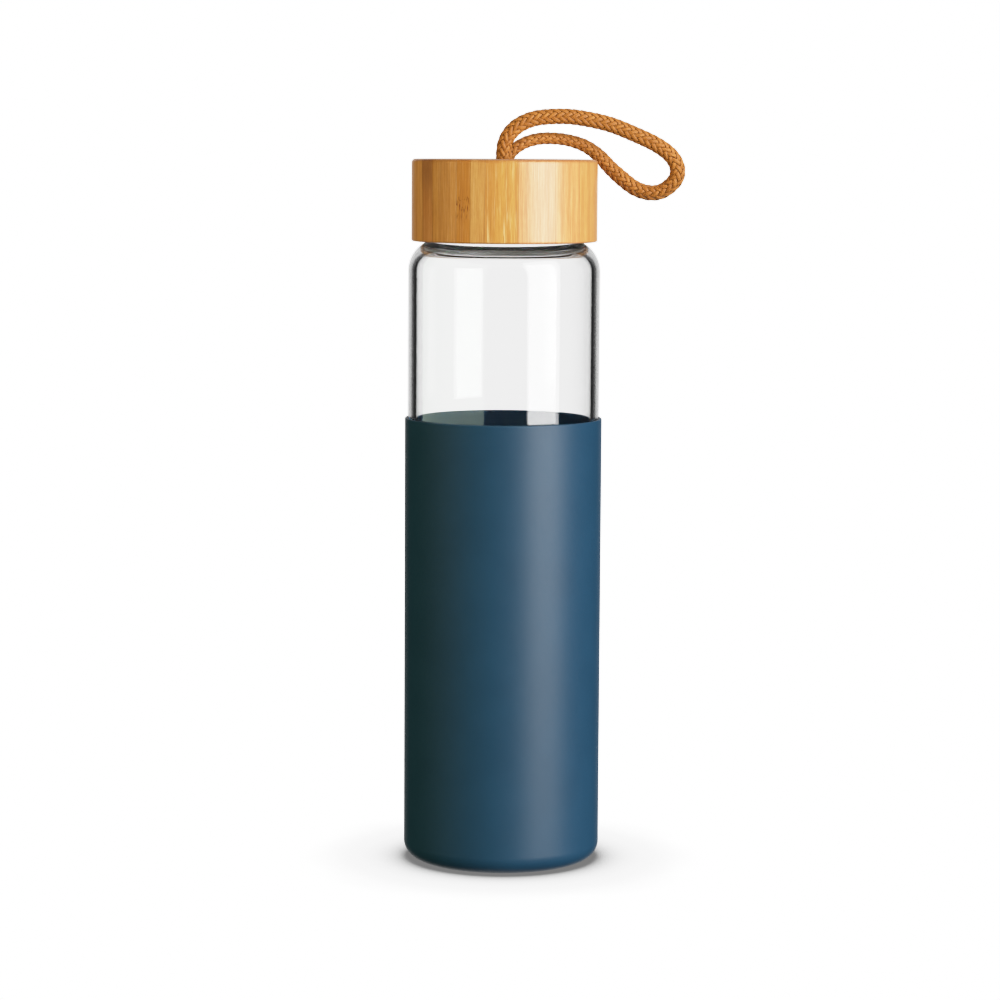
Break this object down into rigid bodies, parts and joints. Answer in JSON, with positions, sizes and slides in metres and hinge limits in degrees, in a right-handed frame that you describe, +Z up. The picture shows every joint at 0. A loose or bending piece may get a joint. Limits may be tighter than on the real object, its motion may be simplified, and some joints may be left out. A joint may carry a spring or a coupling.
{
  "type": "glass water bottle",
  "caption": "Cylindrical glass water bottle with a close-fitting silicone sleeve, a screw-on bamboo lid and a braided carry loop.",
  "frame": {"origin": "centre of the sleeve's base, on the surface that the bottle stands on", "axes": "+Z up along the bottle's axis, +X towards the side that the cord loop lies on"},
  "size_m": [0.093, 0.066, 0.2524],
  "materials": {
    "clear_glass": "clear, fire-polished",
    "sleeve_silicone": "satin petrol blue silicone",
    "bamboo": "laminated bamboo, satin lacquer",
    "insert_plastic": "moulded white polypropylene",
    "adhesive": "cured epoxy",
    "gasket_silicone": "translucent white silicone",
    "cord_braid": "braided caramel cord"
  },
  "bodies": {
    "sleeve": {"silicone_sleeve": "sleeve_silicone"},
    "bottle": {"glass_bottle": "clear_glass"},
    "seal": {"sealing_gasket": "gasket_silicone"},
    "lid": {"bamboo_cap": "bamboo", "threaded_insert": "insert_plastic", "adhesive_ring": "adhesive"},
    "cord_root": {"cord_knot": "cord_braid"},
    "cord_loop": {"cord_loop": "cord_braid"}
  },
  "joints": [
    {"name": "sleeve_pull", "type": "slide", "parent": "sleeve", "child": "bottle", "axis": [0, 0, 1], "range_m": [0, 0.16]},
    {"name": "lid_rise", "type": "slide", "parent": "bottle", "child": "seal", "axis": [0, 0, 1], "range_m": [0, 0.0201]},
    {"name": "lid_turn", "type": "hinge", "parent": "seal", "child": "lid", "pos_m": [0, 0, 0.2221], "axis": [0, 0, 1], "range_deg": [0, 1800]},
    {"name": "cord_swivel", "type": "hinge", "parent": "lid", "child": "cord_root", "pos_m": [0, 0, 0.2357], "axis": [0, 0, 1], "continuous": true},
    {"name": "loop_tilt", "type": "hinge", "parent": "cord_root", "child": "cord_loop", "pos_m": [0, 0, 0.2417], "axis": [0, -1, 0], "range_deg": [0, 80], "deforming": ["cord_loop"]}
  ],
  "couplings": [
    {"joint": "lid_rise", "follows": "lid_turn", "m_per_rad": 0.00063662}
  ]
}
